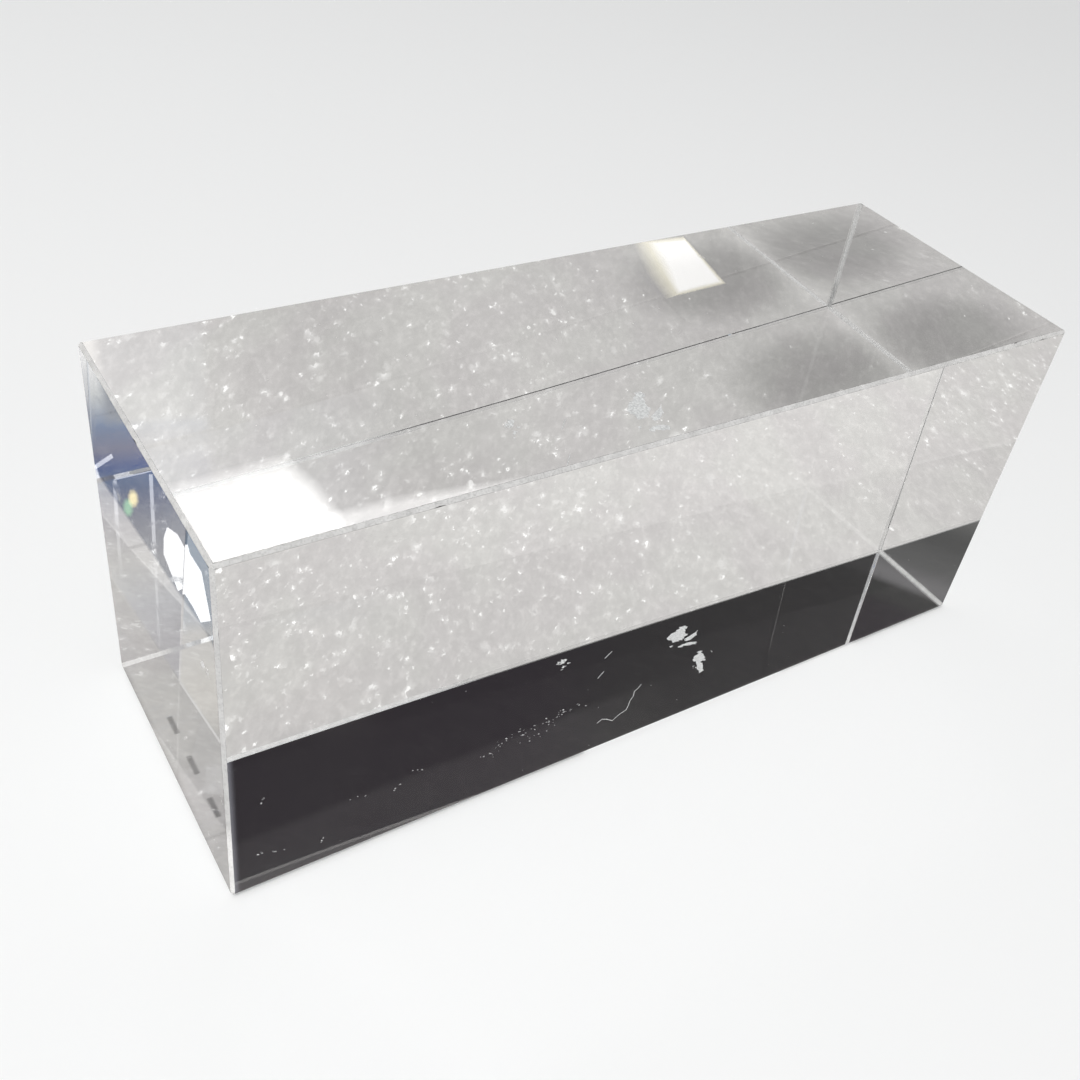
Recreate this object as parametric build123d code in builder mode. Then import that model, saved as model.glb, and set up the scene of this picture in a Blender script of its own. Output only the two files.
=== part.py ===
from build123d import *
import os

# Rectangular glass prism: one solid block of clear optical glass, cut and polished on all six faces.
# Millimetres. The origin is the centre of the base face, with the block's length along X, its
# front-to-back width along Y and its height along Z.

# Driving dimensions
length = 140.0  # between the two end faces
width = 48.0  # between the front and back faces
height = 60.0  # from the base face up to the top face
edge_bevel = 0.5  # leg of the 45 degree protective bevel ground on each of the twelve edges

os.makedirs("parts", exist_ok=True)

# The blank is sawn square: a rectangular footprint carried straight up to the top face.
# Every edge is then ground to the same narrow bevel, and three bevels meet in a point at each corner.
with BuildPart() as glass_prism:
    with BuildSketch(Plane.XY) as footprint:
        Rectangle(length, width)
    extrude(amount=height)
    chamfer(glass_prism.edges(), length=edge_bevel)

glass_prism.part.label = "glass_prism"
export_step(glass_prism.part, "parts/glass_prism.step")
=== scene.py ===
"""Dresses a solid polished glass prism block and sets it on a plain studio stage."""

import math
import random

import bmesh
import bpy
from mathutils import Matrix, Quaternion, Vector


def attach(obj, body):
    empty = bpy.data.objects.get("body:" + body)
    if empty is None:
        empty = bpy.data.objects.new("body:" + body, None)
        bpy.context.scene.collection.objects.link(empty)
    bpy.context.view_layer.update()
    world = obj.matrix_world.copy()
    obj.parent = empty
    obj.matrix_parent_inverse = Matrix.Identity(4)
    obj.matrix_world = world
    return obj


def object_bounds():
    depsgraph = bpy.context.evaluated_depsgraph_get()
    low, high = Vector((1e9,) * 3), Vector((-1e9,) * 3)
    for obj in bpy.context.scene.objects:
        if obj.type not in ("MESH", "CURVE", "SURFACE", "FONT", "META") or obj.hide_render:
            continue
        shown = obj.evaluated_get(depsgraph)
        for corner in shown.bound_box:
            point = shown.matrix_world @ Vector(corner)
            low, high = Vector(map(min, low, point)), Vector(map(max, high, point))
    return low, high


bl_info = {
    "name": "Glass Prism Block",
    "version": (1, 0, 0),
    "blender": (4, 5, 0),
    "location": "View3D > Sidebar > Glass Prism",
    "description": "Clear glass, ground bevels, lint and a plain studio stage for a solid prism block",
    "category": "Object",
}

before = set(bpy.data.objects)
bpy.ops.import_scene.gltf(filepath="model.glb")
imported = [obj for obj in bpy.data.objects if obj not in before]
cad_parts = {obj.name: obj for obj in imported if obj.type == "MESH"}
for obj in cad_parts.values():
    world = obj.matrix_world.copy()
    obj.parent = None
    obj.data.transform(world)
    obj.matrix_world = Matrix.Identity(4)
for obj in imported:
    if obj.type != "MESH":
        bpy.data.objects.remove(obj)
CAD_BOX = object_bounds()
LOW, HIGH = CAD_BOX
MM = 0.001


# ---------------------------------------------------------------- settings


class PrismGlassSettings(bpy.types.PropertyGroup):
    """Finish of the polished faces."""

    refractive_index: bpy.props.FloatProperty(
        name="Refractive index",
        description="Index of the clear optical glass",
        default=1.517,
        min=1.0,
        max=2.5,
    )
    glass_tint: bpy.props.FloatVectorProperty(
        name="Glass tint",
        description="Faint colour that each polished face gives to the light crossing it",
        default=(0.985, 0.99, 0.99),
        size=3,
        subtype="COLOR",
        min=0.0,
        max=1.0,
    )
    smear_roughness: bpy.props.FloatProperty(
        name="Smear roughness",
        description="Roughness where a cloth or finger has left a faint smear",
        default=0.07,
        min=0.0,
        max=1.0,
    )
    smear_scale: bpy.props.FloatProperty(
        name="Smear scale",
        description="Number of smear patches per metre",
        default=42.0,
        min=1.0,
    )


class GroundBevelSettings(bpy.types.PropertyGroup):
    """Narrow satin bevels ground on the twelve edges."""

    leg: bpy.props.FloatProperty(
        name="Bevel leg",
        description="Leg of the 45 degree bevel",
        default=0.5 * MM,
        unit="LENGTH",
        subtype="DISTANCE",
    )
    depth: bpy.props.FloatProperty(
        name="Grind depth",
        description="How far the ground layer lies under the bevel",
        default=0.02 * MM,
        unit="LENGTH",
        subtype="DISTANCE",
    )
    thickness: bpy.props.FloatProperty(
        name="Grind thickness",
        description="Thickness of the ground layer",
        default=0.03 * MM,
        unit="LENGTH",
        subtype="DISTANCE",
    )
    step: bpy.props.FloatProperty(
        name="Step",
        description="Spacing of the points along an edge",
        default=0.9 * MM,
        unit="LENGTH",
        subtype="DISTANCE",
    )
    ground_color: bpy.props.FloatVectorProperty(
        name="Ground glass",
        description="Colour of the finely ground glass",
        default=(0.90, 0.89, 0.875),
        size=3,
        subtype="COLOR",
        min=0.0,
        max=1.0,
    )


class LintSettings(bpy.types.PropertyGroup):
    """Lint, grit and a hair held under and on the block."""

    lint_color: bpy.props.FloatVectorProperty(
        name="Lint",
        description="Colour of the lint and grit",
        default=(0.93, 0.93, 0.92),
        size=3,
        subtype="COLOR",
        min=0.0,
        max=1.0,
    )
    lift: bpy.props.FloatProperty(
        name="Lift",
        description="How far the grit is sunk in from the polished face",
        default=0.03 * MM,
        unit="LENGTH",
        subtype="DISTANCE",
    )
    loose_specks: bpy.props.IntProperty(
        name="Loose specks",
        description="Number of fine specks spread over the faces",
        default=120,
        min=0,
    )


class StageSettings(bpy.types.PropertyGroup):
    """Floor, room light and camera."""

    floor_color: bpy.props.FloatVectorProperty(
        name="Floor",
        description="Colour of the plain floor",
        default=(0.90, 0.90, 0.895),
        size=3,
        subtype="COLOR",
        min=0.0,
        max=1.0,
    )
    backdrop_color: bpy.props.FloatVectorProperty(
        name="Backdrop",
        description="Colour of the even backdrop",
        default=(0.90, 0.90, 0.895),
        size=3,
        subtype="COLOR",
        min=0.0,
        max=1.0,
    )
    floor_reach: bpy.props.FloatProperty(
        name="Floor reach",
        description="Radius of the floor",
        default=7.0,
        unit="LENGTH",
        subtype="DISTANCE",
    )
    air_gap: bpy.props.FloatProperty(
        name="Air gap",
        description="Gap of air between the block and what it stands on",
        default=0.2 * MM,
        unit="LENGTH",
        subtype="DISTANCE",
    )
    camera_place: bpy.props.FloatVectorProperty(
        name="Camera place",
        description="Where the camera stands",
        default=(-0.10065, -0.11947, 0.14849),
        size=3,
        subtype="TRANSLATION",
        unit="LENGTH",
    )
    camera_aim: bpy.props.FloatVectorProperty(
        name="Camera aim",
        description="Point at the middle of the picture",
        default=(-0.01315, -0.00534, 0.030),
        size=3,
        subtype="TRANSLATION",
        unit="LENGTH",
    )
    camera_roll: bpy.props.FloatProperty(
        name="Camera roll",
        description="Turn of the camera about its own line of sight",
        default=math.radians(9.033),
        subtype="ANGLE",
    )
    lens: bpy.props.FloatProperty(
        name="Lens",
        description="Focal length in millimetres on a 36 mm sensor",
        default=41.0,
        min=10.0,
    )
    key_power: bpy.props.FloatProperty(
        name="Key light",
        description="Power of the large soft light overhead",
        default=9.0,
        unit="POWER",
        min=0.0,
    )


SETTINGS = {
    "prism_glass": PrismGlassSettings,
    "ground_bevels": GroundBevelSettings,
    "lint": LintSettings,
    "stage": StageSettings,
}


# ---------------------------------------------------------------- node helpers


def put(tree, kind, settings=None, feeds=None):
    """Adds a node, sets its options and feeds its inputs with values or other nodes' outputs."""
    node = tree.nodes.new(kind)
    for name, value in (settings or {}).items():
        setattr(node, name, value)
    for key, value in (feeds or {}).items():
        if isinstance(value, bpy.types.NodeSocket):
            tree.links.new(value, node.inputs[key])
        else:
            node.inputs[key].default_value = value
    return node


def sum_up(tree, operation, first, second=0.0, third=0.0, clamp=False):
    """One step of arithmetic."""
    settings = {"operation": operation, "use_clamp": clamp}
    return put(tree, "ShaderNodeMath", settings, {0: first, 1: second, 2: third}).outputs[0]


def product(tree, *values):
    """All the values multiplied."""
    result = values[0]
    for value in values[1:]:
        result = sum_up(tree, "MULTIPLY", result, value)
    return result


def less(tree, value):
    """One less the value."""
    return sum_up(tree, "SUBTRACT", 1.0, value)


def ease(tree, value, start, end, low=0.0, high=1.0, curve="SMOOTHSTEP"):
    """Eases from low to high while the value goes from start to end."""
    settings = {"interpolation_type": curve}
    feeds = {"Value": value, "From Min": start, "From Max": end, "To Min": low, "To Max": high}
    return put(tree, "ShaderNodeMapRange", settings, feeds).outputs["Result"]


def ease_line(tree, value, start, end, low=0.0, high=1.0):
    """Goes straight from low to high while the value goes from start to end."""
    return ease(tree, value, start, end, low, high, "LINEAR")


def choose(tree, share, first, second):
    """Mixes two numbers."""
    feeds = {0: share, 2: first, 3: second}
    return put(tree, "ShaderNodeMix", {"data_type": "FLOAT"}, feeds).outputs[0]


def blend_color(tree, share, first, second, how="MIX"):
    """Mixes two colours."""
    settings = {"data_type": "RGBA", "blend_type": how}
    node = put(tree, "ShaderNodeMix", settings)
    for socket, value in ((node.inputs[0], share), (node.inputs[6], first), (node.inputs[7], second)):
        if isinstance(value, bpy.types.NodeSocket):
            tree.links.new(value, socket)
        elif isinstance(value, float):
            socket.default_value = value
        else:
            socket.default_value = (*value[:3], 1.0)
    return node.outputs[2]


def stops(tree, value, colors, easing="EASE"):
    """A ramp with stops at the given places, each a colour or one number for a grey."""
    node = put(tree, "ShaderNodeValToRGB", None, {0: value})
    ramp = node.color_ramp
    ramp.interpolation = easing
    while len(ramp.elements) > 1:
        ramp.elements.remove(ramp.elements[-1])
    for index, (place, color) in enumerate(colors):
        stop = ramp.elements.new(place) if index else ramp.elements[0]
        stop.position = place
        stop.color = (color, color, color, 1.0) if isinstance(color, float) else (*color, 1.0)
    return node.outputs[0]


def noise(tree, place, scale, detail, **more):
    """A noise texture at a place."""
    feeds = {"Vector": place, "Scale": scale, "Detail": detail}
    feeds.update({name.title(): value for name, value in more.items()})
    return put(tree, "ShaderNodeTexNoise", None, feeds).outputs


def new_group(name, inputs, outputs):
    """An empty node group with named sockets: its tree, its input node and its output node."""
    tree = bpy.data.node_groups.new(name, "ShaderNodeTree")
    for label, kind, default in inputs:
        socket = tree.interface.new_socket(name=label, in_out="INPUT", socket_type=kind)
        if default is not None:
            socket.default_value = default
    for label, kind in outputs:
        tree.interface.new_socket(name=label, in_out="OUTPUT", socket_type=kind)
    return tree, tree.nodes.new("NodeGroupInput"), tree.nodes.new("NodeGroupOutput")


def empty_material(name):
    """A material with only its output node."""
    material = bpy.data.materials.new(name)
    material.use_nodes = True
    material.node_tree.nodes.clear()
    return material, material.node_tree, material.node_tree.nodes.new("ShaderNodeOutputMaterial")


# ---------------------------------------------------------------- shared effects


def handling_marks_group():
    """Faint smears and fine grit, used by the glass, the bevels and the lint."""
    found = bpy.data.node_groups.get("handling_marks")
    if found:
        return found
    inputs = (
        ("Vector", "NodeSocketVector", None),
        ("Smear Scale", "NodeSocketFloat", 42.0),
        ("Grit Scale", "NodeSocketFloat", 2600.0),
    )
    outputs = (("Smear", "NodeSocketFloat"), ("Grit", "NodeSocketFloat"))
    tree, enter, leave = new_group("handling_marks", inputs, outputs)
    place = enter.outputs["Vector"]
    stretch = put(tree, "ShaderNodeMapping", None, {"Vector": place, "Scale": (1.0, 1.7, 2.3)})
    stretch.inputs["Rotation"].default_value = (0.4, 0.3, 0.8)
    smear = noise(tree, stretch.outputs[0], enter.outputs["Smear Scale"], 4.0, distortion=1.2)
    grit = noise(tree, place, enter.outputs["Grit Scale"], 3.0, roughness=0.65)
    tree.links.new(ease(tree, smear["Fac"], 0.60, 0.78), leave.inputs["Smear"])
    tree.links.new(grit["Fac"], leave.inputs["Grit"])
    return tree


def handling_marks(tree, smear_scale, grit_scale):
    """Places the shared marks in a material, on object coordinates."""
    place = put(tree, "ShaderNodeTexCoord").outputs["Object"]
    feeds = {"Vector": place, "Smear Scale": smear_scale, "Grit Scale": grit_scale}
    return put(tree, "ShaderNodeGroup", {"node_tree": handling_marks_group()}, feeds).outputs


# ---------------------------------------------------------------- materials


def polished_glass(settings):
    """Clear optical glass, polished, with faint smears."""
    material, tree, output = empty_material("clear_polished_glass")
    marks = handling_marks(tree, settings.smear_scale, 2600.0)
    roughness = sum_up(tree, "MULTIPLY", marks["Smear"], settings.smear_roughness)
    feeds = {
        "Base Color": (*settings.glass_tint, 1.0),
        "IOR": settings.refractive_index,
        "Transmission Weight": 1.0,
        "Roughness": roughness,
    }
    glass = put(tree, "ShaderNodeBsdfPrincipled", None, feeds)
    in_shadow = put(tree, "ShaderNodeLightPath").outputs["Is Shadow Ray"]
    clear = put(tree, "ShaderNodeBsdfTransparent", None, {"Color": (0.95, 0.96, 0.965, 1.0)})
    mix = put(tree, "ShaderNodeMixShader", None, {0: in_shadow, 1: glass.outputs[0], 2: clear.outputs[0]})
    tree.links.new(mix.outputs[0], output.inputs["Surface"])
    return material


# Painted glow: the satin bevels give off a little light of their own colour, standing in for light
# scattered into them.
PAINTED_BEVEL_GLOW = 0.12


def ground_glass(settings):
    """Finely ground satin glass of the bevels, with painted light and shade per edge and a painted glow."""
    material, tree, output = empty_material("ground_bevel_glass")
    marks = handling_marks(tree, 160.0, 3800.0)
    grind = put(tree, "ShaderNodeAttribute", {"attribute_name": "grind"})
    # Painted light and shade of each edge, carried in an attribute, lightens or darkens the ground glass.
    white = put(tree, "ShaderNodeAttribute", {"attribute_name": "painted_light_and_shade"})
    fading = put(tree, "ShaderNodeAttribute", {"attribute_name": "fading"})
    shade = ease(tree, marks["Grit"], 0.35, 0.68, 0.90, 1.0)
    shade = sum_up(tree, "MULTIPLY", shade, white.outputs["Fac"])
    color = blend_color(tree, 1.0, shade, settings.ground_color, "MULTIPLY")
    speckle = ease(tree, marks["Grit"], 0.30, 0.50, 0.80, 1.0)
    path = put(tree, "ShaderNodeLightPath")
    short_way = sum_up(tree, "LESS_THAN", path.outputs["Ray Depth"], 2.5)
    straight_way = sum_up(tree, "LESS_THAN", path.outputs["Ray Depth"], 1.5)
    kept = product(tree, short_way, less(tree, product(tree, straight_way, fading.outputs["Fac"])))
    alpha = sum_up(tree, "MULTIPLY", grind.outputs["Fac"], product(tree, speckle, kept), clamp=True)
    rough = ease(tree, marks["Smear"], 0.0, 1.0, 0.62, 0.48)
    feeds = {"Height": marks["Grit"], "Strength": 0.35, "Distance": 0.05 * MM}
    bump = put(tree, "ShaderNodeBump", None, feeds)
    feeds = {
        "Base Color": color,
        "Roughness": rough,
        "Alpha": alpha,
        "Normal": bump.outputs[0],
        "IOR": 1.3,
        "Emission Color": color,
        "Emission Strength": PAINTED_BEVEL_GLOW,
    }
    body = put(tree, "ShaderNodeBsdfPrincipled", None, feeds)
    tree.links.new(body.outputs[0], output.inputs["Surface"])
    return material


def lint_finish(settings):
    """Dry white lint and stone grit."""
    material, tree, output = empty_material("white_lint")
    marks = handling_marks(tree, 500.0, 2200.0)
    shade = ease(tree, marks["Grit"], 0.35, 0.65, 0.72, 1.0)
    color = blend_color(tree, 1.0, shade, settings.lint_color, "MULTIPLY")
    rough = ease(tree, marks["Smear"], 0.0, 1.0, 0.85, 0.6)
    path = put(tree, "ShaderNodeLightPath")
    first_way = sum_up(tree, "LESS_THAN", path.outputs["Ray Depth"], 1.5)
    feeds = {"Base Color": color, "Roughness": rough, "Alpha": first_way}
    body = put(tree, "ShaderNodeBsdfPrincipled", None, feeds)
    tree.links.new(body.outputs[0], output.inputs["Surface"])
    return material


# ---------------------------------------------------------------- pieces


def lay_mesh(name, shell, material):
    """Turns a bmesh into an object of the scene."""
    mesh = bpy.data.meshes.new(name)
    shell.to_mesh(mesh)
    shell.free()
    mesh.materials.append(material)
    laid = bpy.data.objects.new(name, mesh)
    bpy.context.scene.collection.objects.link(laid)
    return laid


def finish_piece(name, shell, material):
    """Turns a bmesh into a piece that rides on its body and takes its finish from its slot."""
    bmesh.ops.recalc_face_normals(shell, faces=shell.faces)
    piece = lay_mesh(name, shell, material)
    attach(piece, "root")


def close_rims(shell, lower, upper):
    """The wall and the two ends between two rims of points."""
    for index in range(len(lower)):
        after = (index + 1) % len(lower)
        shell.faces.new((lower[index], lower[after], upper[after], upper[index]))
    shell.faces.new(lower[::-1])
    shell.faces.new(upper)


def bevel_edges():
    """The twelve edges: run axis, corner, the two outward directions, and where the run starts and ends."""
    edges = []
    sides = {0: (LOW.x, HIGH.x), 1: (LOW.y, HIGH.y), 2: (LOW.z, HIGH.z)}
    for run in range(3):
        across = [axis for axis in range(3) if axis != run]
        for first in (0, 1):
            for second in (0, 1):
                corner = Vector((0.0, 0.0, 0.0))
                corner[across[0]] = sides[across[0]][first]
                corner[across[1]] = sides[across[1]][second]
                out_a = Vector((0.0, 0.0, 0.0))
                out_b = Vector((0.0, 0.0, 0.0))
                out_a[across[0]] = 1.0 if first else -1.0
                out_b[across[1]] = 1.0 if second else -1.0
                edges.append((run, corner, out_a, out_b, sides[run]))
    return edges


ALONG_X, ALONG_Y, ALONG_Z = 0, 1, 2
OUTSIDE, UNDER, DEEP = (0.985, -0.1), (1.0, 1.0), (1.25, 6.0)


def grind_look(run, facing):
    """How closed the grind of a bevel is, how light it is painted (painted light and shade per edge, dark
    along the bottom front like a contact shadow), and its width and depth (below 0: outside).
    """
    if run == ALONG_Z and facing.x < 0.0:
        return (1.0, 0.96, *OUTSIDE) if facing.y < 0.0 else (0.90, 0.80, *OUTSIDE)
    if run == ALONG_Z:
        return (0.08, 1.0, *UNDER) if facing.y < 0.0 else (0.90, 0.60, *DEEP)
    if facing.z > 0.0:
        return (0.30, 0.80, *OUTSIDE) if run == ALONG_Y and facing.x > 0.0 else (0.80, 0.76, *OUTSIDE)
    if run == ALONG_X:
        return (0.90, 0.12, *UNDER) if facing.y < 0.0 else (0.14, 0.50, *UNDER)
    return (0.85, 0.76, *DEEP)


def climb(value, start, width):
    """Rises straight from 0 at the start to 1 one width further on."""
    return min(1.0, max(0.0, (value - start) / width))


def grind_change(run, facing, along):
    """How much the grind closes along its run, and the factor on its painted light and shade there, in
    millimetres from the middle of the base.
    """
    spot = along / MM
    # Right uprights: the back one thins and is painted lighter towards the top.
    if run == ALONG_Z and facing.x > 0.0:
        high = climb(spot, 11.0, 5.0) if facing.y > 0.0 else 0.0
        return 1.0 - 0.40 * high, 1.0 + 0.50 * high
    if run == ALONG_Z and facing.y > 0.0:
        return 1.0, 1.0 + 0.2 * climb(spot, 25.0, 5.0)
    # Front left upright: painted darker above 12.5 mm.
    if run == ALONG_Z:
        return 1.0, 1.0 - 0.26 * climb(spot, 12.5, 3.0)
    # Bottom front: open in the middle, painted much lighter a little right of the middle.
    if run == ALONG_X and facing.z < 0.0 and facing.y < 0.0:
        return 0.0 if -12.0 < spot < 29.0 else 1.0, 7.0 if 28.0 < spot < 47.0 else 1.0
    # Bottom back: closer and painted lighter towards the left.
    if run == ALONG_X and facing.z < 0.0:
        left = climb(-spot, 18.0, 12.0)
        return 1.0 + 5.0 * left, 1.0 + 0.9 * left
    return 1.0, 1.0


BEVEL_SHARE = 0.985
END_SHARE = 0.52
NICK_CHANCE = 0.02
NICK_LEFT_OVER = 0.70
FAR_UPRIGHT_FADE = 0.70
SOFT_BORDERS = ((-1.0, 0.25), (-0.55, 0.85), (0.0, 1.0), (0.55, 0.85), (1.0, 0.25))
EVEN_BORDERS = tuple((share, 1.0) for share, _ in SOFT_BORDERS)


def add_bevel_strip(shell, layers, edge, settings, dice):
    """One closed thin strip along a bevel, with a slightly ragged border."""
    run, corner, out_a, out_b, ends = edge
    facing = out_a + out_b
    amount, shade, width, sink = grind_look(run, facing)
    outward = facing.normalized()
    slide = (out_a - out_b).normalized()
    middle = corner - facing * (settings.leg * 0.5)
    half_width = settings.leg * math.sqrt(0.5) * BEVEL_SHARE * width
    near = settings.depth * sink
    far = near * 2.0 if sink < 0.0 else near + settings.thickness
    strengths = SOFT_BORDERS if sink > 1.0 else EVEN_BORDERS
    fade = FAR_UPRIGHT_FADE if run == ALONG_Z and facing.x > 0.0 and facing.y > 0.0 else 0.0
    start = ends[0] + settings.leg * END_SHARE
    end = ends[1] - settings.leg * END_SHARE
    count = max(8, int((end - start) / settings.step))
    rows = []
    for index in range(count + 1):
        along = start + (end - start) * index / count
        taper = 0.80 if index in (0, count) else 1.0
        left = half_width * taper * (1.0 - 0.04 * dice.random())
        right = half_width * taper * (1.0 - 0.04 * dice.random())
        if dice.random() < NICK_CHANCE:
            left *= NICK_LEFT_OVER
        if dice.random() < NICK_CHANCE:
            right *= NICK_LEFT_OVER
        strength = amount * (0.90 + 0.10 * dice.random())
        # Painted light and shade of this edge, with a small random spread.
        painted_light_and_shade = shade * (0.90 + 0.14 * dice.random())
        closes, painted_light_change = grind_change(run, facing, along)
        row = []
        for share, part in strengths:
            reach = share * (left if share < 0.0 else right)
            for depth in (near, far):
                point = middle + slide * reach - outward * depth
                point[run] = along
                vertex = shell.verts.new(point)
                vertex[layers[0]] = strength * closes * part
                vertex[layers[1]] = painted_light_and_shade * painted_light_change
                vertex[layers[2]] = fade
                row.append(vertex)
        rows.append(row)
    last = 2 * (len(strengths) - 1)
    for index in range(count):
        here = rows[index]
        there = rows[index + 1]
        for column in range(0, last, 2):
            shell.faces.new((here[column], there[column], there[column + 2], here[column + 2]))
            shell.faces.new((here[column + 1], here[column + 3], there[column + 3], there[column + 1]))
        shell.faces.new((here[0], here[1], there[1], there[0]))
        shell.faces.new((here[last], there[last], there[last + 1], here[last + 1]))
    for row in (rows[0], rows[-1]):
        for column in range(0, last, 2):
            shell.faces.new((row[column], row[column + 2], row[column + 3], row[column + 1]))


def add_corner_plate(shell, layers, signs, settings):
    """A small closed three-sided plate over the ground facet of one corner."""
    corner = Vector([(HIGH if sign > 0.0 else LOW)[axis] for axis, sign in enumerate(signs)])
    facing = Vector(signs).normalized()
    rims = []
    middle = corner - Vector(signs) * (settings.leg * 2.0 / 3.0)
    for level in (settings.depth * 0.1, settings.depth * 0.2):
        rim = []
        for axis in range(3):
            point = corner - Vector(signs) * settings.leg
            point[axis] = corner[axis]
            spot = middle + (point - middle) * 0.94 + facing * level
            vertex = shell.verts.new(spot)
            # Painted light of the corner facets.
            vertex[layers[0]] = 0.95
            vertex[layers[1]] = 0.92
            rim.append(vertex)
        rims.append(rim)
    close_rims(shell, *rims)


def make_bevels(settings):
    """All twelve ground bevels and the eight corners as one piece."""
    dice = random.Random(12)
    shell = bmesh.new()
    layers = [shell.verts.layers.float.new(name) for name in ("grind", "painted_light_and_shade", "fading")]
    for edge in bevel_edges():
        add_bevel_strip(shell, layers, edge, settings, dice)
    for side_x in (-1.0, 1.0):
        for side_y in (-1.0, 1.0):
            for side_z in (-1.0, 1.0):
                add_corner_plate(shell, layers, (side_x, side_y, side_z), settings)
    finish_piece("ground_bevel_strips", shell, ground_glass(settings))


FLAKE_THICKNESS = 0.02 * MM
SCRAP_THICKNESS = 0.03 * MM
THREAD_SIDES = 6


def add_flake(shell, middle, across, up, reach, dice, lobes=9):
    """A small closed flake with a ragged outline, lying flat on a face."""
    side = across.cross(up).normalized()
    turn = dice.uniform(0.0, math.tau)
    squeeze = dice.uniform(0.35, 0.95)
    rims = []
    for level in (0.0, FLAKE_THICKNESS):
        rim = []
        for index in range(lobes):
            angle = math.tau * index / lobes
            swell = reach * (0.62 + 0.38 * math.sin(2.3 * index + turn * 3.0))
            flat_x = math.cos(angle) * swell
            flat_y = math.sin(angle) * swell * squeeze
            turned_x = flat_x * math.cos(turn) - flat_y * math.sin(turn)
            turned_y = flat_x * math.sin(turn) + flat_y * math.cos(turn)
            rim.append(shell.verts.new(middle + across * turned_x + side * turned_y + up * level))
        rims.append(rim)
    close_rims(shell, *rims)


def add_thread(shell, points, up, radius):
    """A closed flat-bottomed thread along a line of points."""
    rings = []
    for index, point in enumerate(points):
        before = points[max(0, index - 1)]
        after = points[min(len(points) - 1, index + 1)]
        ahead = (after - before).normalized()
        side = ahead.cross(up).normalized()
        ring = []
        for corner in range(THREAD_SIDES):
            angle = math.tau * corner / THREAD_SIDES
            offset = side * math.cos(angle) * radius + up * (math.sin(angle) + 1.0) * radius
            ring.append(shell.verts.new(point + offset))
        rings.append(ring)
    for first, second in zip(rings, rings[1:]):
        for corner in range(THREAD_SIDES):
            after = (corner + 1) % THREAD_SIDES
            shell.faces.new((first[corner], first[after], second[after], second[corner]))
    shell.faces.new(rings[0][::-1])
    shell.faces.new(rings[-1])


LINT_TUFTS = (
    (15.1, 9.3, 0.2, 0.5, 3),
    (21.1, 0.2, 0.2, 0.4, 2),
    (15.6, -4.8, 0.4, 0.4, 4),
    (-4.9, 18.4, 0.9, 0.9, 10),
)
LINT_SCRAPS = (
    (
        ((15.6, 14.0), (17.1, 15.4), (19.2, 16.5), (20.4, 17.3), (20.9, 16.3))
        + ((19.8, 14.4), (19.5, 12.2), (18.0, 10.8), (16.0, 11.0))
    ),
    ((18.2, 10.6), (19.4, 10.7), (20.9, 11.3), (22.1, 12.9), (21.0, 10.6), (19.4, 9.5), (18.3, 9.7)),
    ((16.2, 8.1), (18.0, 8.5), (19.9, 7.4), (19.5, 6.3), (18.2, 6.9), (16.3, 7.4)),
    (
        ((16.5, -0.8), (17.8, 0.8), (19.1, 2.3), (19.3, 0.0), (18.6, -3.2))
        + ((17.7, -2.9), (17.3, -5.6), (15.6, -8.4), (16.7, -2.9))
    ),
)
GRIT_PATCH = (
    ((-25.4, -8.0), (-21.9, -5.6), (-18.2, -5.0), (-17.0, -8.3))
    + ((-13.7, -4.8), (-11.4, -3.6), (-9.2, -3.4))
)
SINGLE_GRIT = (
    ((-37.5, -4.4), (-41.8, -7.7), (-47.5, -5.8), (-60.3, 5.4))
    + ((-54.4, -16.4), (-61.5, -13.4), (-64.1, -12.7))
)
HAIR_LINE = (
    ((-6.8, -13.3), (-5.6, -12.4), (-4.9, -13.2), (-4.2, -14.8), (-3.2, -13.9), (-2.2, -13.1))
    + ((-0.8, -12.4), (0.2, -10.6), (1.0, -8.9), (2.1, -7.4), (2.9, -5.4), (4.0, -4.5), (4.9, -3.3))
)


def add_scrap(shell, corners, lift, up, dice):
    """A closed flat scrap of lint with a frayed outline, in millimetres on the base."""
    rims = []
    outline = []
    for (x, y), (next_x, next_y) in zip(corners, corners[1:] + corners[:1]):
        for share in (0.0, 0.25, 0.5, 0.75):
            fray = 0.22 if share else 0.05
            spot_x = x + (next_x - x) * share + dice.gauss(0.0, fray)
            spot_y = y + (next_y - y) * share + dice.gauss(0.0, fray)
            outline.append((spot_x, spot_y))
    for level in (lift, lift + SCRAP_THICKNESS):
        rims.append([shell.verts.new(Vector((x, y, 0.0)) * MM + up * level) for x, y in outline])
    close_rims(shell, *rims)


def make_lint(settings, material):
    """Lint tufts and grit caught under the base."""
    dice = random.Random(5)
    up = Vector((0.0, 0.0, 1.0))
    across = Vector((1.0, 0.0, 0.0))
    shell = bmesh.new()
    for x, y, spread, reach, count in LINT_TUFTS:
        for _ in range(count):
            middle = Vector((x + dice.gauss(0, spread * 0.6), y + dice.gauss(0, spread), 0.0)) * MM
            middle.z = settings.lift + dice.random() * 0.15 * MM
            add_flake(shell, middle, across, up, dice.uniform(0.35, 1.0) * reach * MM, dice)
    for index, outline in enumerate(LINT_SCRAPS):
        add_scrap(shell, outline, settings.lift + index * 0.05 * MM, up, dice)
    for spots, count, spread_x, spread_y, least, most in (
        (GRIT_PATCH, 9, 1.5, 1.2, 0.10, 0.34),
        (SINGLE_GRIT, 3, 0.6, 0.6, 0.12, 0.36),
    ):
        for x, y in spots:
            for _ in range(count):
                middle = Vector((x + dice.gauss(0, spread_x), y + dice.gauss(0, spread_y), 0.0)) * MM
                middle.z = settings.lift
                add_flake(shell, middle, across, up, dice.uniform(least, most) * MM, dice, 7)
    finish_piece("base_lint", shell, material)


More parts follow.
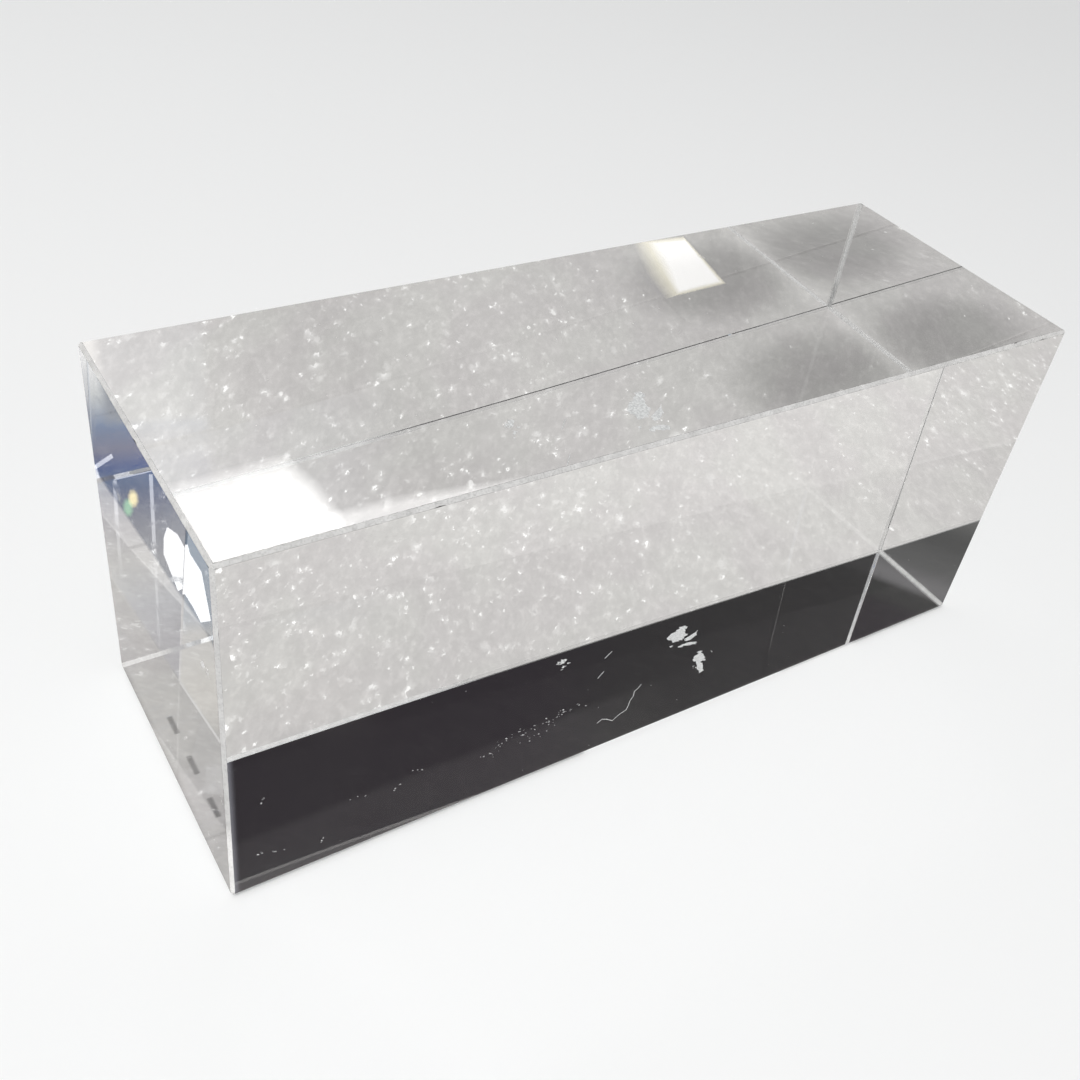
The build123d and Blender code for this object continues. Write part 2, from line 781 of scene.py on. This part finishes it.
def make_hair(settings, material):
    """A short curled hair and two fibre ends under the base."""
    up = Vector((0.0, 0.0, 1.0))
    shell = bmesh.new()
    hair = [Vector((x, y, 0.0)) * MM + up * settings.lift for x, y in HAIR_LINE]
    add_thread(shell, hair, up, 0.07 * MM)
    for x, y, lean in ((-0.2, 7.4, 0.9), (3.7, 15.2, 1.0)):
        middle = Vector((x, y, 0.0)) * MM + up * settings.lift
        reach = Vector((lean, 1.0, 0.0)) * MM
        add_thread(shell, [middle - reach, middle + up * 0.02 * MM, middle + reach], up, 0.08 * MM)
    finish_piece("base_hair", shell, material)


def make_face_specks(settings, material):
    """Fine specks of dust spread over the outer faces."""
    dice = random.Random(31)
    shell = bmesh.new()
    axes = (Vector((1, 0, 0)), Vector((0, 1, 0)), Vector((0, 0, 1)))
    margin = 1.5 * MM
    for _ in range(settings.loose_specks):
        axis = dice.choice((0, 1, 1, 2, 2))
        high = dice.random() < 0.5 or axis == 2
        middle = Vector([dice.uniform(LOW[i] + margin, HIGH[i] - margin) for i in range(3)])
        inward = axes[axis] * (-1.0 if high else 1.0)
        middle[axis] = (HIGH if high else LOW)[axis] + inward[axis] * settings.lift
        reach = dice.choice((0.05, 0.06, 0.08, 0.1, 0.13)) * MM
        add_flake(shell, middle, axes[(axis + 1) % 3], inward, reach, dice, 7)
    finish_piece("face_dust", shell, material)


# ---------------------------------------------------------------- stage


STONE_UNDER = (
    (0.00, 0.76),
    (0.10, 0.77),
    (0.17, 0.71),
    (0.26, 0.65),
    (0.36, 0.62),
    (0.52, 0.67),
    (0.70, 0.63),
    (0.97, 0.58),
    (1.00, 0.68),
)
DASH_SPACING, DASH_START, DASH_LINE = 8.7, 8.8, 73.2


def stone_tone(tree, place):
    """How bright the stone is from place to place, in millimetres: painted light and shade, lit from the
    left, dim at the right, with a painted pool of light just in front.
    """
    parts = put(tree, "ShaderNodeSeparateXYZ", None, {0: place})
    x, y = parts.outputs[0], parts.outputs[1]
    under = stops(tree, ease_line(tree, x, -70.0, 70.0), STONE_UNDER, "LINEAR")
    # A dimmer round patch on the stone near x 54 mm, y 7 mm.
    off_x = sum_up(tree, "MULTIPLY_ADD", x, 1.0 / 19.0, -54.0 / 19.0)
    off_y = sum_up(tree, "MULTIPLY_ADD", y, 1.0 / 14.0, -7.0 / 14.0)
    far = sum_up(tree, "ADD", product(tree, off_x, off_x), product(tree, off_y, off_y))
    under = product(tree, under, ease(tree, far, 0.0, 1.3, 0.66, 1.0))
    behind = ease_line(tree, x, -56.0, 60.0, 0.64, 0.76)
    ahead = ease_line(tree, x, -70.0, 70.0, 0.72, 0.60)
    inside = choose(tree, ease(tree, y, 23.4, 24.6), under, behind)
    inside = choose(tree, ease(tree, y, -24.0, -25.0), inside, ahead)
    path = put(tree, "ShaderNodeLightPath")
    # Darker stone beyond the right end, for paths of many bounces.
    deep = sum_up(tree, "GREATER_THAN", path.outputs["Ray Depth"], 4.5)
    deep = product(tree, deep, ease(tree, x, 70.5, 71.5))
    inside = choose(tree, deep, inside, ease(tree, y, 25.0, 65.0, 0.25, 0.42))
    # Painted pool of light on the stone just in front of the block, towards the left.
    close = product(tree, ease(tree, y, -33.0, -31.0), ease(tree, x, 20.0, -10.0))
    front = sum_up(tree, "MULTIPLY_ADD", close, 0.18, 0.23)
    mirrored = choose(tree, ease(tree, y, -24.0, -25.0), behind, front)
    turn = math.tau / DASH_SPACING
    dashes = sum_up(tree, "COSINE", sum_up(tree, "MULTIPLY_ADD", y, turn, -DASH_START * turn))
    near = ease(tree, sum_up(tree, "ABSOLUTE", y), 13.0, 12.0)
    off_line = sum_up(tree, "ABSOLUTE", sum_up(tree, "ADD", x, DASH_LINE))
    dashes = product(tree, ease(tree, dashes, 0.05, 0.35), near, ease(tree, off_line, 0.65, 0.15))
    lit = product(tree, ease(tree, y, -15.0, -2.0, 0.70, 0.92), ease(tree, y, 5.0, 28.0, 1.0, 0.90))
    left = sum_up(tree, "MULTIPLY_ADD", dashes, -0.55, lit)
    mirrored = choose(tree, ease(tree, x, -70.0, -71.0), mirrored, left)
    outer = sum_up(tree, "LESS_THAN", path.outputs["Transmission Depth"], 0.5)
    tone = choose(tree, outer, inside, mirrored)
    return tone, x, y, outer


def painted_crystal_glints(tree, place, turn, size, picked, crowd):
    """Painted glints: bright stretched flakes of highlight with a soft painted halo, scattered over the
    stone; cell size in millimetres and the share picked.
    """
    lay = put(tree, "ShaderNodeMapping", {"vector_type": "TEXTURE"}, {"Vector": place})
    lay.inputs["Rotation"].default_value = (0.0, 0.0, math.radians(turn))
    lay.inputs["Scale"].default_value = (size, size * 0.62, 1.0)
    flat = {"feature": "F1", "voronoi_dimensions": "2D", "distance": "EUCLIDEAN"}
    feeds = {"Vector": lay.outputs[0], "Scale": 1.0, "Randomness": 1.0}
    cell = put(tree, "ShaderNodeTexVoronoi", flat, feeds)
    split = put(tree, "ShaderNodeSeparateColor", None, {0: cell.outputs["Color"]})
    reach = sum_up(tree, "MULTIPLY_ADD", split.outputs[1], 0.12, 0.07)
    share = sum_up(tree, "DIVIDE", cell.outputs["Distance"], reach)
    strength = sum_up(tree, "MULTIPLY_ADD", split.outputs[2], 0.9, 0.1)
    core = product(tree, ease(tree, share, 1.0, 0.6), strength)
    halo = ease(tree, share, 2.6, 0.4, 0.0, 0.22)
    kept = sum_up(tree, "LESS_THAN", split.outputs[0], product(tree, crowd, picked))
    return product(tree, sum_up(tree, "MAXIMUM", core, halo), kept)


GLINT_LAYERS = (
    (25.0, 5.2, 0.20),
    (100.0, 3.8, 0.24),
    (-35.0, 2.7, 0.28),
    (65.0, 2.0, 0.28),
    (150.0, 1.4, 0.22),
)


ROSY_GRAY = (1.0, 0.966, 0.95)
SANDY_GRAY = (0.995, 0.975, 0.945)
PAINTED_GLINT_WHITE = (1.30, 1.29, 1.27)
SHADE_BLUE = (0.055, 0.08, 0.14)
FAR_STONE = (0.86, 0.86, 0.85)


def stone_color(tree):
    """Mottled grey stone with bright painted crystal glints and a painted blue shadow edge, as it is seen
    through the glass.
    """
    spot = put(tree, "ShaderNodeNewGeometry").outputs["Position"]
    feeds = {0: spot, "Scale": 1.0 / MM}
    place = put(tree, "ShaderNodeVectorMath", {"operation": "SCALE"}, feeds).outputs[0]
    tone, x, y, outer = stone_tone(tree, place)
    path = put(tree, "ShaderNodeLightPath")
    turned = sum_up(tree, "GREATER_THAN", path.outputs["Ray Depth"], 2.5)
    side = sum_up(tree, "MULTIPLY_ADD", turned, -2.0, 1.0)
    flipped = put(tree, "ShaderNodeCombineXYZ", None, {"X": product(tree, x, side), "Y": y})
    laid = put(tree, "ShaderNodeMapping", {"vector_type": "TEXTURE"}, {"Vector": flipped.outputs[0]})
    lean = sum_up(tree, "MULTIPLY_ADD", turned, math.radians(14.0), math.radians(44.0))
    tree.links.new(put(tree, "ShaderNodeCombineXYZ", None, {"Z": lean}).outputs[0], laid.inputs["Rotation"])
    laid.inputs["Scale"].default_value = (1.7, 1.0, 1.0)
    laid = laid.outputs[0]
    broad = noise(tree, laid, 0.06, 2.0)
    blotch = noise(tree, laid, 0.30, 4.0, roughness=0.6)
    clump = noise(tree, laid, 0.75, 3.0, roughness=0.6)
    grain = noise(tree, laid, 1.6, 3.0, roughness=0.7)
    for layer, low, high, dark, light in (
        (broad, 0.30, 0.70, 0.97, 1.03),
        (blotch, 0.25, 0.75, 0.945, 1.055),
        (clump, 0.45, 0.75, 0.99, 1.12),
        (grain, 0.25, 0.75, 0.97, 1.03),
    ):
        tone = product(tree, tone, ease(tree, layer["Fac"], low, high, dark, light))
    cast = blend_color(tree, ease(tree, broad["Fac"], 0.40, 0.60), ROSY_GRAY, SANDY_GRAY)
    gray = blend_color(tree, 1.0, tone, cast, "MULTIPLY")
    feeds = {0: grain["Color"], 1: (1.7, 1.7, 0.0), 2: laid}
    warp = put(tree, "ShaderNodeVectorMath", {"operation": "MULTIPLY_ADD"}, feeds).outputs[0]
    crowd = ease(tree, blotch["Fac"], 0.46, 0.59, 0.05, 1.0)
    calm = product(tree, ease(tree, x, 24.0, 44.0), ease(tree, y, 28.0, 24.0, 0.0, 0.9))
    dark_front = product(tree, ease(tree, y, -22.0, -24.5), outer)
    rare = ease(tree, x, 48.0, 10.0, 0.30, 1.0)
    crowd = product(tree, crowd, less(tree, calm), less(tree, dark_front), rare)
    glints = None
    for turn, size, picked in GLINT_LAYERS:
        layer = painted_crystal_glints(tree, warp, turn, size, picked, crowd)
        glints = layer if glints is None else sum_up(tree, "MAXIMUM", glints, layer)
    # Painted glints laid over the stone.
    stone = blend_color(tree, glints, gray, PAINTED_GLINT_WHITE)
    slant = product(tree, sum_up(tree, "MAXIMUM", sum_up(tree, "SUBTRACT", y, 26.0), 0.0), -0.07)
    across = sum_up(tree, "ADD", x, slant)
    shaded = product(tree, ease(tree, across, -84.2, -84.9), outer)
    stone = blend_color(tree, shaded, stone, SHADE_BLUE)
    away = put(tree, "ShaderNodeVectorMath", {"operation": "LENGTH"}, {0: place}).outputs["Value"]
    return blend_color(tree, ease(tree, away, 350.0, 650.0), stone, FAR_STONE)


def make_floor(settings):
    """A plain pale floor, which shows its stone grain only through the glass, as a glow with painted light,
    shade and glints.
    """
    shell = bmesh.new()
    rim = []
    count = 96
    for index in range(count):
        angle = math.tau * index / count
        spot = Vector((math.cos(angle), math.sin(angle), 0.0)) * settings.floor_reach
        spot.z = -settings.air_gap
        rim.append(shell.verts.new(spot))
    shell.faces.new(rim)
    material, tree, output = empty_material("pale_floor")
    feeds = {"Base Color": (*settings.floor_color, 1.0), "Roughness": 0.7, "Specular IOR Level": 0.1}
    plain = put(tree, "ShaderNodeBsdfPrincipled", None, feeds)
    feeds = {"Color": (*settings.backdrop_color, 1.0), "Strength": 1.0}
    backdrop = put(tree, "ShaderNodeEmission", None, feeds)
    geometry = put(tree, "ShaderNodeNewGeometry")
    away = put(tree, "ShaderNodeVectorMath", {"operation": "LENGTH"}, {0: geometry.outputs["Position"]})
    sweep = ease(tree, away.outputs["Value"], 0.35, 1.6)
    shown = put(tree, "ShaderNodeMixShader", None, {0: sweep, 1: plain.outputs[0], 2: backdrop.outputs[0]})
    # The stone seen through the glass glows with its painted light and shade.
    glow = put(tree, "ShaderNodeEmission", None, {"Color": stone_color(tree), "Strength": 1.0})
    through = seen_through_glass(tree)
    mix = put(tree, "ShaderNodeMixShader", None, {0: through, 1: shown.outputs[0], 2: glow.outputs[0]})
    tree.links.new(mix.outputs[0], output.inputs["Surface"])
    material.cycles.emission_sampling = "NONE"
    lay_mesh("studio_floor", shell, material)


def seen_through_glass(tree):
    """1 for light that reaches the lens by way of the glass, 0 for the plain view and for soft light."""
    path = put(tree, "ShaderNodeLightPath")
    no_diffuse = sum_up(tree, "LESS_THAN", path.outputs["Diffuse Depth"], 0.5)
    return product(tree, less(tree, path.outputs["Is Camera Ray"]), no_diffuse)


ROOM_RISE = (
    (0.00, (0.80, 0.79, 0.78)),
    (0.12, (0.72, 0.71, 0.70)),
    (0.34, 0.42),
    (0.54, (0.16, 0.16, 0.155)),
    (0.60, (0.017, 0.013, 0.018)),
    (0.84, (0.017, 0.013, 0.018)),
    (0.93, 0.22),
    (1.00, 0.40),
)
BLUE_SIDE = (
    (0.530, (1.60, 1.57, 1.52)),
    (0.552, (1.02, 1.04, 1.00)),
    (0.571, (0.20, 0.29, 0.48)),
    (0.586, (0.25, 0.24, 0.34)),
    (0.597, (0.03, 0.08, 0.32)),
    (0.604, (0.10, 0.17, 0.34)),
    (0.618, (0.16, 0.18, 0.28)),
    (0.632, (0.36, 0.36, 0.40)),
    (0.654, (0.58, 0.57, 0.56)),
    (0.678, (0.46, 0.48, 0.52)),
    (0.705, (0.30, 0.30, 0.34)),
)
BACK_SIDE = (
    (0.52, (1.60, 1.57, 1.52)),
    (0.545, (1.10, 1.10, 1.08)),
    (0.565, (0.40, 0.42, 0.50)),
    (0.64, (0.44, 0.52, 0.60)),
    (0.69, (0.50, 0.55, 0.60)),
    (0.70, (0.66, 0.65, 0.62)),
    (0.735, (0.60, 0.57, 0.52)),
    (0.765, 0.05),
)
CORNER_SIDE = (
    (0.54, (0.16, 0.16, 0.155)),
    (0.565, 0.07),
    (0.585, 0.10),
    (0.600, (0.17, 0.165, 0.17)),
    (0.606, 0.03),
)


def make_room(settings):
    """An even pale backdrop and soft light, with a dim room that only the glass shows."""
    world = bpy.data.worlds.new("studio_room")
    world.use_nodes = True
    bpy.context.scene.world = world
    tree = world.node_tree
    tree.nodes.clear()
    output = tree.nodes.new("ShaderNodeOutputWorld")
    way = put(tree, "ShaderNodeTexCoord")
    parts = put(tree, "ShaderNodeSeparateXYZ", None, {0: way.outputs["Generated"]})
    height = parts.outputs[2]
    heading = sum_up(tree, "ARCTAN2", parts.outputs[0], parts.outputs[1])

    def aside(start, end, low=0.0, high=1.0):
        return ease(tree, heading, math.radians(start), math.radians(end), low, high)

    room = stops(tree, height, ROOM_RISE)
    far_side = product(tree, aside(38.0, 46.0), aside(75.0, 60.0), 0.75)
    room = blend_color(tree, far_side, room, (0.02, 0.02, 0.02))
    blue = stops(tree, height, BLUE_SIDE, "LINEAR")
    low_right = product(tree, aside(12.6, 13.3), ease(tree, height, 0.574, 0.566))
    blue = blend_color(tree, low_right, blue, (0.42, 0.44, 0.47))
    blue_side = product(tree, aside(2.0, 8.0), aside(17.7, 18.6, 1.0, 0.0))
    room = blend_color(tree, blue_side, room, blue)
    back = stops(tree, height, BACK_SIDE)
    back_side = product(tree, aside(150.0, 156.0), aside(168.4, 169.0, 1.0, 0.0))
    room = blend_color(tree, back_side, room, back)
    corner = stops(tree, height, CORNER_SIDE)
    at_corner = product(tree, aside(-42.0, -50.0), ease(tree, height, 0.62, 0.61))
    at_corner = product(tree, at_corner, ease(tree, height, 0.53, 0.545))
    room = blend_color(tree, at_corner, room, corner)
    through = seen_through_glass(tree)
    path = put(tree, "ShaderNodeLightPath")
    soft = blend_color(tree, path.outputs["Is Camera Ray"], (0.55, 0.555, 0.56), settings.backdrop_color)
    shown = blend_color(tree, through, soft, room)
    background = put(tree, "ShaderNodeBackground", None, {"Color": shown, "Strength": 1.0})
    tree.links.new(background.outputs[0], output.inputs["Surface"])
    world.cycles.sampling_method = "NONE"


LIGHT_PLACE = Vector((-0.5, -0.35, 1.1))
LIGHT_AIM = Vector((0.0, 0.0, 0.03))
LIGHT_WIDTH = 0.9


def add_light(settings):
    """A large soft light that doesn't show itself in the glass."""
    data = bpy.data.lights.new("key_light", "AREA")
    data.shape = "DISK"
    data.size = LIGHT_WIDTH
    data.energy = settings.key_power
    light = bpy.data.objects.new("key_light", data)
    light.location = LIGHT_PLACE
    light.rotation_mode = "QUATERNION"
    light.rotation_quaternion = (LIGHT_AIM - LIGHT_PLACE).to_track_quat("-Z", "Y")
    light.visible_camera = False
    light.visible_glossy = False
    light.visible_transmission = False
    bpy.context.scene.collection.objects.link(light)


def mirror_spot(eye, x, y, away):
    """Where a spot on the top face, in millimetres, sends the line of sight at the given distance."""
    spot = Vector((x * MM, y * MM, HIGH.z))
    ahead = (spot - eye).normalized()
    ahead.z = -ahead.z
    return spot + ahead * away


def heading_spot(start, heading, height, away):
    """The point at a heading from +Y towards +X and a height angle, both in degrees."""
    turn = math.radians(heading)
    rise = math.radians(height)
    ahead = Vector((math.sin(turn) * math.cos(rise), math.cos(turn) * math.cos(rise), math.sin(rise)))
    return Vector(start) * MM + ahead * away


def add_card(name, rings, strength):
    """A flat glowing card that only the glass sees, in rings of corners and colours from the middle out."""
    shell = bmesh.new()
    tint = shell.verts.layers.float_color.new("tint")
    laid = []
    for corners, color in rings:
        ring = [shell.verts.new(corner) for corner in corners]
        shades = (color,) * len(corners) if isinstance(color[0], float) else color
        for vertex, shade in zip(ring, shades):
            vertex[tint] = (*shade, 1.0)
        laid.append(ring)
    shell.faces.new(laid[0])
    for inner, outer in zip(laid, laid[1:]):
        for index in range(len(inner)):
            after = (index + 1) % len(inner)
            shell.faces.new((inner[index], inner[after], outer[after], outer[index]))
    material, tree, output = empty_material(name)
    shade = put(tree, "ShaderNodeAttribute", {"attribute_name": "tint"})
    glow = put(tree, "ShaderNodeEmission", None, {"Color": shade.outputs["Color"], "Strength": strength})
    clear = put(tree, "ShaderNodeBsdfTransparent")
    both = put(tree, "ShaderNodeAddShader", None, {0: glow.outputs[0], 1: clear.outputs[0]})
    tree.links.new(both.outputs[0], output.inputs["Surface"])
    material.cycles.emission_sampling = "NONE"
    card = lay_mesh(name, shell, material)
    card.visible_camera = False
    card.visible_diffuse = False
    card.visible_shadow = False
    card.visible_volume_scatter = False


WHITE = (1.0, 0.995, 0.985)
BLACK = (0.0, 0.0, 0.0)
WARM_FRINGE = (0.60, 0.56, 0.40)
CARD_REACH = 90.0
WINDOW_PANE = (
    ((-69.1, -13.2), (-62.0, -12.6), (-57.0, -12.3), (-55.8, -16.0))
    + ((-55.2, -21.5), (-55.4, -24.6), (-69.1, -24.6))
)
WINDOW_RIM = (
    ((-69.9, -8.6), (-62.0, -8.4), (-55.0, -8.2), (-53.6, -14.3))
    + ((-53.4, -20.4), (-54.0, -25.4), (-69.9, -25.4))
)
SIDE_LIGHT = ((-55.4, -21.8), (-46.0, -22.4), (-38.0, -23.4), (-46.0, -24.4), (-55.4, -24.6))
SIDE_LIGHT_RIM = ((-56.0, -20.2), (-46.0, -20.6), (-29.0, -23.4), (-46.0, -25.2), (-56.0, -25.4))
SMALL_PANE = ((27.4, 21.3), (24.2, 8.6), (16.4, 8.0), (19.4, 14.3), (22.6, 22.0))
SMALL_FRINGE = ((27.9, 22.4), (24.7, 7.8), (15.0, 7.2), (17.4, 14.3), (20.8, 23.2))
SMALL_RIM = ((28.3, 23.2), (25.0, 7.3), (12.4, 6.6), (14.4, 14.3), (18.4, 24.0))
FAR_END = (70.0, 0.0, 26.0)
FRAME_BARS = (
    ((12.97, 37.13), (15.02, 36.88), 0.20, 0.80, 0.80),
    ((14.95, 37.10), (14.75, 40.26), 0.20, 0.75, 0.70),
    ((14.75, 40.26), (14.44, 44.76), 0.14, 0.40, 0.20),
    ((13.02, 37.24), (12.86, 39.10), 0.20, 0.80, 0.45),
    ((12.86, 39.10), (12.70, 42.00), 0.18, 0.45, 0.0),
    ((12.09, 36.57), (13.06, 36.14), 0.20, 1.10, 1.10),
    ((12.06, 36.50), (12.22, 37.25), 0.20, 1.10, 1.10),
)
SKY_PATCH = (
    ((15.56, 39.49), (16.10, 39.86), (16.42, 40.45), (16.48, 41.30))
    + ((16.15, 42.30), (15.85, 42.40), (15.22, 40.68), (15.31, 39.97))
)
SKY_PATCH_BEHIND = (
    ((163.30, 40.75), (162.72, 41.60), (162.37, 43.83), (162.98, 43.87))
    + ((163.35, 43.18), (163.95, 42.30), (163.75, 41.00), (163.40, 40.30))
)
PALE = (0.97, 0.98, 1.0)
COOL = (0.95, 0.97, 1.0)
LOW_SKY = (1.3, 1.3, 1.28)
HIGH_SKY = (0.30, 0.36, 0.46)
SKY_WINDOWS = (
    ("back_edge_card", (164.2, 168.0), (42.8, 44.2), COOL, 0.6),
    ("front_edge_card", (16.6, 17.8), (50.3, 51.5), COOL, 1.1),
    ("corner_sky_card", (60.0, 64.5), (31.0, 36.5), (LOW_SKY, LOW_SKY, HIGH_SKY, HIGH_SKY), 1.0),
    ("side_sky_card", (105.5, 113.0), (40.3, 42.5), WHITE, 1.6),
    ("low_side_sky_card", (104.0, 113.0), (42.5, 49.0), WHITE, 0.45),
    ("high_side_sky_card", (105.5, 113.0), (38.0, 40.3), (0.70, 0.85, 1.0), 0.30),
)
SPARK_CORE = (0.13, 0.22)
SPARK_RIM = (0.34, 0.48)
SPARKS = (
    ("warm_spark_card", 13.88, 38.10, (1.0, 0.84, 0.36), 1.7),
    ("green_spark_card", 13.55, 38.48, (0.45, 1.0, 0.45), 0.9),
)


def bar_corners(first, second, width):
    """The four corners of a straight bar between two headings, as headings."""
    run_x = second[0] - first[0]
    run_y = second[1] - first[1]
    reach = math.hypot(run_x, run_y)
    side_x = -run_y / reach * width * 0.5
    side_y = run_x / reach * width * 0.5
    return (
        (first[0] + side_x, first[1] + side_y),
        (second[0] + side_x, second[1] + side_y),
        (second[0] - side_x, second[1] - side_y),
        (first[0] - side_x, first[1] - side_y),
    )


def round_corners(turn, rise, half_width, half_height):
    """Eight corners round a heading, as headings."""
    corners = []
    for index in range(8):
        angle = math.tau * (index + 0.5) / 8
        corners.append((turn + math.cos(angle) * half_width, rise + math.sin(angle) * half_height))
    return tuple(corners)


def make_cards(settings):
    """Window cards whose mirror images lie on the top face and inside the left end."""
    eye = Vector(settings.camera_place)

    def mirrored(spots):
        return [mirror_spot(eye, x, y, CARD_REACH) for x, y in spots]

    def beyond(headings):
        return [heading_spot(FAR_END, turn, rise, CARD_REACH) for turn, rise in headings]

    add_card("window_card", ((mirrored(WINDOW_PANE), WHITE), (mirrored(WINDOW_RIM), BLACK)), 8.0)
    add_card("side_light_card", ((mirrored(SIDE_LIGHT), WHITE), (mirrored(SIDE_LIGHT_RIM), BLACK)), 5.0)
    outlines = (SMALL_PANE, WHITE), (SMALL_FRINGE, WARM_FRINGE), (SMALL_RIM, BLACK)
    rings = [(mirrored(outline), tint) for outline, tint in outlines]
    add_card("small_window_card", rings, 5.0)
    for first, second, width, start, end in FRAME_BARS:
        corners = beyond(bar_corners(first, second, width))
        ends = [tuple(part * glow for part in PALE) for glow in (start, end, end, start)]
        add_card("window_bar_card", ((corners, ends),), 1.0)
    add_card("sky_patch_card", ((beyond(SKY_PATCH), WHITE),), 1.6)
    add_card("sky_patch_behind_card", ((beyond(SKY_PATCH_BEHIND), WHITE),), 1.6)
    for name, (left, right), (low, high), color, strength in SKY_WINDOWS:
        corners = beyond(((left, low), (right, low), (right, high), (left, high)))
        add_card(name, ((corners, color),), strength)
    for name, turn, rise, color, strength in SPARKS:
        inner = beyond(round_corners(turn, rise, *SPARK_CORE))
        outer = beyond(round_corners(turn, rise, *SPARK_RIM))
        add_card(name, ((inner, color), (outer, BLACK)), strength)


def make_camera(settings):
    """The camera at its working angle."""
    data = bpy.data.cameras.new("studio_camera")
    data.lens = settings.lens
    data.sensor_width = 36.0
    data.clip_start = 0.005
    data.clip_end = 30.0
    camera = bpy.data.objects.new("studio_camera", data)
    ahead = Vector(settings.camera_aim) - Vector(settings.camera_place)
    turn = ahead.to_track_quat("-Z", "Y") @ Quaternion((0.0, 0.0, 1.0), settings.camera_roll)
    camera.matrix_world = Matrix.Translation(Vector(settings.camera_place)) @ turn.to_matrix().to_4x4()
    bpy.context.scene.collection.objects.link(camera)
    bpy.context.scene.camera = camera


def set_light_limits():
    """Enough bounces for light that runs round inside the block, and a plain view."""
    cycles = bpy.context.scene.cycles
    cycles.max_bounces = 28
    cycles.glossy_bounces = 28
    cycles.transmission_bounces = 28
    cycles.diffuse_bounces = 3
    cycles.transparent_max_bounces = 32
    cycles.caustics_reflective = True
    cycles.caustics_refractive = True
    cycles.blur_glossy = 0.0
    bpy.context.scene.view_settings.view_transform = "Standard"
    bpy.context.scene.view_settings.look = "None"


# ---------------------------------------------------------------- operators


class PRISM_OT_polished_glass(bpy.types.Operator):
    """Gives the block its clear polished glass."""

    bl_idname = "prism.polished_glass"
    bl_label = "Polish the block"

    def execute(self, context):
        material = polished_glass(context.scene.prism_glass)
        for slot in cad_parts["glass_prism"].material_slots:
            slot.material = material
        return {"FINISHED"}


class PRISM_OT_ground_bevels(bpy.types.Operator):
    """Grinds the satin bevels on the twelve edges."""

    bl_idname = "prism.ground_bevels"
    bl_label = "Grind the bevels"

    def execute(self, context):
        make_bevels(context.scene.ground_bevels)
        return {"FINISHED"}


class PRISM_OT_lint(bpy.types.Operator):
    """Lays the lint, grit, hair and face dust."""

    bl_idname = "prism.lint"
    bl_label = "Lay the lint"

    def execute(self, context):
        settings = context.scene.lint
        material = lint_finish(settings)
        for make in (make_lint, make_hair, make_face_specks):
            make(settings, material)
        return {"FINISHED"}


class PRISM_OT_stage(bpy.types.Operator):
    """Sets the floor, the room, the lights and the camera."""

    bl_idname = "prism.stage"
    bl_label = "Set the stage"

    def execute(self, context):
        settings = context.scene.stage
        make_floor(settings)
        make_room(settings)
        make_cards(settings)
        add_light(settings)
        make_camera(settings)
        set_light_limits()
        return {"FINISHED"}


class PRISM_PT_panel(bpy.types.Panel):
    """Shows the operators that make the block's pieces and its stage, with their settings."""

    bl_label = "Glass Prism"
    bl_idname = "PRISM_PT_panel"
    bl_space_type = "VIEW_3D"
    bl_region_type = "UI"
    bl_category = "Glass Prism"

    def draw(self, context):
        layout = self.layout
        for operator in OPERATORS:
            layout.operator(operator.bl_idname)
        for name in SETTINGS:
            settings = getattr(context.scene, name)
            box = layout.box()
            for field in settings.bl_rna.properties.keys():
                if field not in ("rna_type", "name"):
                    box.prop(settings, field)


OPERATORS = (
    PRISM_OT_polished_glass,
    PRISM_OT_ground_bevels,
    PRISM_OT_lint,
    PRISM_OT_stage,
)
CLASSES = (*SETTINGS.values(), *OPERATORS, PRISM_PT_panel)


def register():
    for item in CLASSES:
        bpy.utils.register_class(item)
    for name, group in SETTINGS.items():
        setattr(bpy.types.Scene, name, bpy.props.PointerProperty(type=group))


def unregister():
    for name in SETTINGS:
        delattr(bpy.types.Scene, name)
    for item in reversed(CLASSES):
        bpy.utils.unregister_class(item)


def main():
    register()
    bpy.ops.prism.polished_glass()
    bpy.ops.prism.ground_bevels()
    bpy.ops.prism.lint()
    bpy.ops.prism.stage()


if __name__ == "__main__":
    main()
